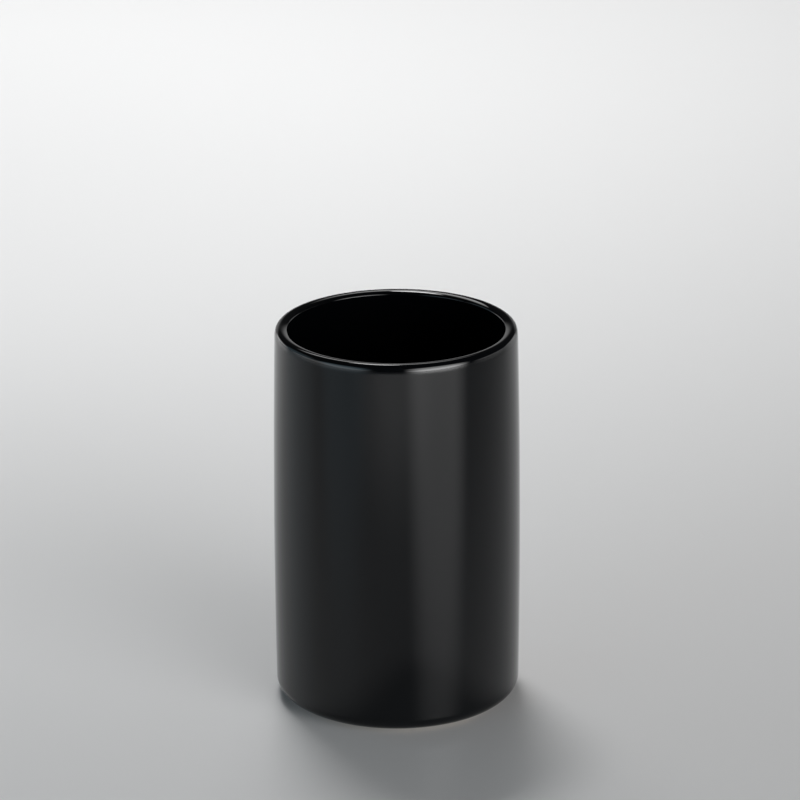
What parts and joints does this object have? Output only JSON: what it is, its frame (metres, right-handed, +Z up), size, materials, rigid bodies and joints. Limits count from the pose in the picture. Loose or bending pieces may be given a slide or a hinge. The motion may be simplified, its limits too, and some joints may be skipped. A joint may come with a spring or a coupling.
{
  "type": "bathroom tumbler",
  "caption": "Tall round stoneware tumbler in gloss black glaze, slightly swelling side, rounded lip, open top, bare foot ring and soft pads; holds brushes or rinsing water by a basin.",
  "frame": {"origin": "on the cup's axis, in the plane that the pads rest on", "axes": "+Z up along the cup's axis, towards the open mouth; +X to the right and +Y away from the viewer as pictured"},
  "size_m": [0.0647, 0.0648, 0.102],
  "materials": {
    "stoneware": "bare fired clay, fine-grained and matt",
    "black_glaze": "high-gloss black glaze with a faint waviness",
    "soft_pad": "cloudy clear elastomer, satin"
  },
  "bodies": {
    "root": {"stoneware_body": "stoneware", "glaze_coat": "black_glaze", "base_glaze": "black_glaze", "foot_pad_1": "soft_pad", "foot_pad_2": "soft_pad", "foot_pad_3": "soft_pad", "foot_pad_4": "soft_pad"}
  },
  "joints": []
}
